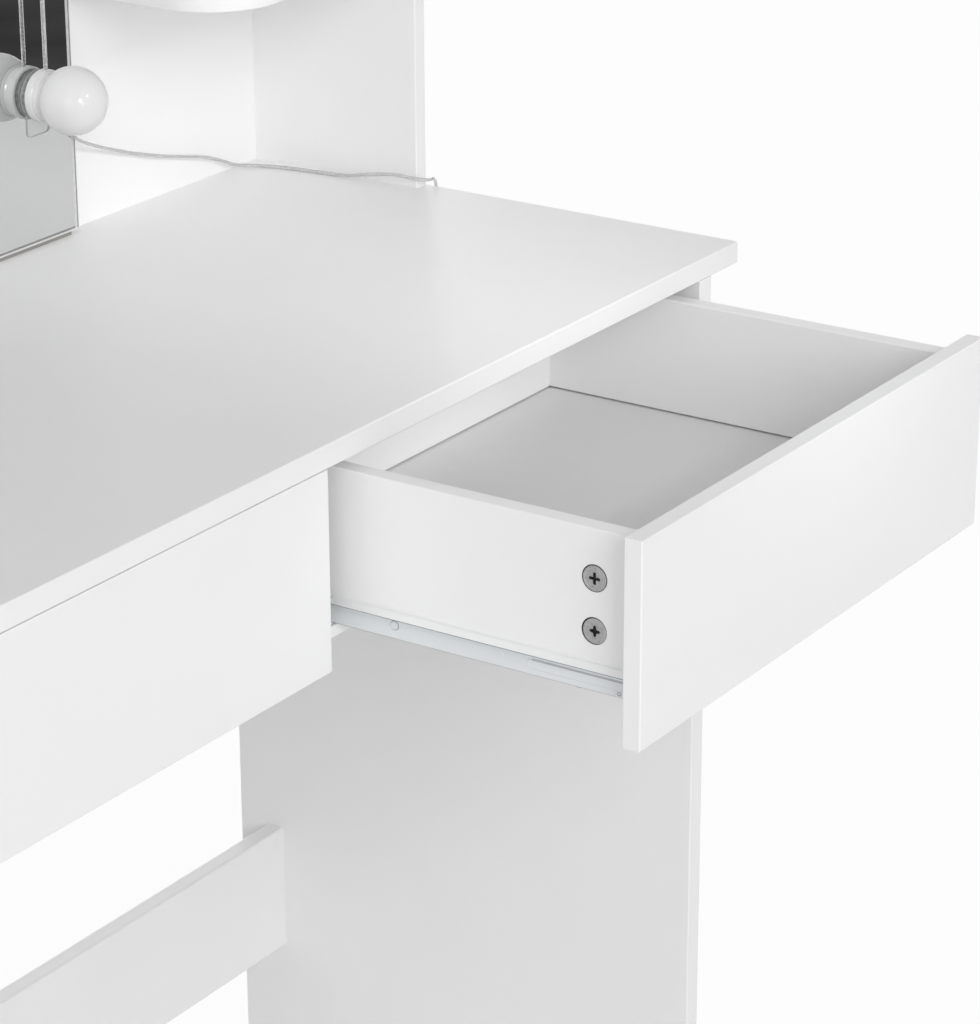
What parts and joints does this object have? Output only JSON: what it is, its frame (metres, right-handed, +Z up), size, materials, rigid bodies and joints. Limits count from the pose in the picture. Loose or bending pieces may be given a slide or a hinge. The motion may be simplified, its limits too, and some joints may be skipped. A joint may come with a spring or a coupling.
{
  "type": "dressing table",
  "caption": "Dressing table with panel legs, a rear stretcher, drawers on roller slides and an open hutch of round-cornered shelves beside a mirror with globe lamps.",
  "frame": {"origin": "on the floor under the middle of the tabletop", "axes": "+X to the right end, +Y to the back, +Z up"},
  "size_m": [0.9534, 0.61, 1.4],
  "materials": {
    "white_board": "satin white melamine on chipboard",
    "white_hardboard": "thin white-faced hardboard",
    "drawer_floor": "thin grey-white faced hardboard",
    "mirror": "silvered glass with a narrow bevel",
    "backing_board": "white faced fibreboard",
    "zinc": "bright zinc",
    "coated_rail": "white powder coat",
    "nylon": "natural nylon",
    "opal_globe": "glossy opal",
    "lamp_collar": "glossy white",
    "pad": "grey foam",
    "clear_plastic": "clear",
    "glide": "moulded white",
    "tie": "soft black",
    "plug": "moulded white"
  },
  "bodies": {
    "carcass": {"tabletop": "white_board", "left_leg_panel": "white_board", "right_leg_panel": "white_board", "rear_stretcher": "white_board", "rear_apron": "white_board", "centre_divider": "white_board", "hutch_back_panel": "white_hardboard", "left_hutch_side": "white_board", "right_hutch_side": "white_board", "mirror_board": "backing_board", "mirror_glass": "mirror", "lamp_pads": "pad", "lamp_tabs": "clear_plastic", "lamp_collars": "lamp_collar", "lamp_globes": "opal_globe", "lamp_wires": "clear_plastic", "carcass_cam_fittings": "zinc", "confirmat_screws": "zinc", "front_rail": "white_board", "back_panel_nails": "zinc", "wood_screws": "zinc", "foot_glides": "glide", "light_lead": "clear_plastic", "lead_coil": "clear_plastic", "lead_tie": "tie", "usb_plug": "plug", "left_lower_shelf": "white_board", "left_middle_shelf": "white_board", "left_upper_shelf": "white_board", "right_lower_shelf": "white_board", "right_middle_shelf": "white_board", "right_upper_shelf": "white_board", "left_drawer_inner_channel": "coated_rail", "left_drawer_outer_channel": "coated_rail", "right_drawer_inner_channel": "coated_rail", "right_drawer_outer_channel": "coated_rail"},
    "left_drawer": {"left_drawer_front": "white_board", "left_drawer_inner_side": "white_board", "left_drawer_outer_side": "white_board", "left_drawer_back": "white_board", "left_drawer_bottom": "drawer_floor", "left_drawer_cam_locks": "zinc", "left_drawer_cam_bolts": "zinc", "left_drawer_screws": "zinc", "left_drawer_inner_runner": "coated_rail", "left_drawer_outer_runner": "coated_rail"},
    "left_front_rollers": {"left_drawer_front_rollers": "nylon"},
    "left_rear_rollers": {"left_drawer_rear_rollers": "nylon"},
    "right_drawer": {"right_drawer_front": "white_board", "right_drawer_inner_side": "white_board", "right_drawer_outer_side": "white_board", "right_drawer_back": "white_board", "right_drawer_bottom": "drawer_floor", "right_drawer_cam_locks": "zinc", "right_drawer_cam_bolts": "zinc", "right_drawer_screws": "zinc", "right_drawer_inner_runner": "coated_rail", "right_drawer_outer_runner": "coated_rail"},
    "right_front_rollers": {"right_drawer_front_rollers": "nylon"},
    "right_rear_rollers": {"right_drawer_rear_rollers": "nylon"}
  },
  "joints": [
    {"name": "left_drawer_slide", "type": "slide", "parent": "carcass", "child": "left_drawer", "axis": [0, -1, 0], "range_m": [0, 0.225]},
    {"name": "left_front_rollers_spin", "type": "hinge", "parent": "carcass", "child": "left_front_rollers", "pos_m": [-0.21375, -0.176, 0.6368], "axis": [1, 0, 0], "range_deg": [-5, 1725]},
    {"name": "left_rear_rollers_spin", "type": "hinge", "parent": "left_drawer", "child": "left_rear_rollers", "pos_m": [-0.21375, 0.103, 0.6368], "axis": [1, 0, 0], "range_deg": [-5, 1725]},
    {"name": "right_drawer_slide", "type": "slide", "parent": "carcass", "child": "right_drawer", "axis": [0, -1, 0], "range_m": [-0.209, 0.016]},
    {"name": "right_front_rollers_spin", "type": "hinge", "parent": "carcass", "child": "right_front_rollers", "pos_m": [0.21375, -0.176, 0.6368], "axis": [1, 0, 0], "range_deg": [-1602, 127]},
    {"name": "right_rear_rollers_spin", "type": "hinge", "parent": "right_drawer", "child": "right_rear_rollers", "pos_m": [0.21375, -0.106, 0.6368], "axis": [1, 0, 0], "range_deg": [-1602, 127]}
  ],
  "couplings": [
    {"joint": "left_front_rollers_spin", "follows": "left_drawer_slide", "rad_per_m": 133.33},
    {"joint": "left_rear_rollers_spin", "follows": "left_drawer_slide", "rad_per_m": 133.33},
    {"joint": "right_front_rollers_spin", "follows": "right_drawer_slide", "rad_per_m": 133.33},
    {"joint": "right_rear_rollers_spin", "follows": "right_drawer_slide", "rad_per_m": 133.33}
  ]
}
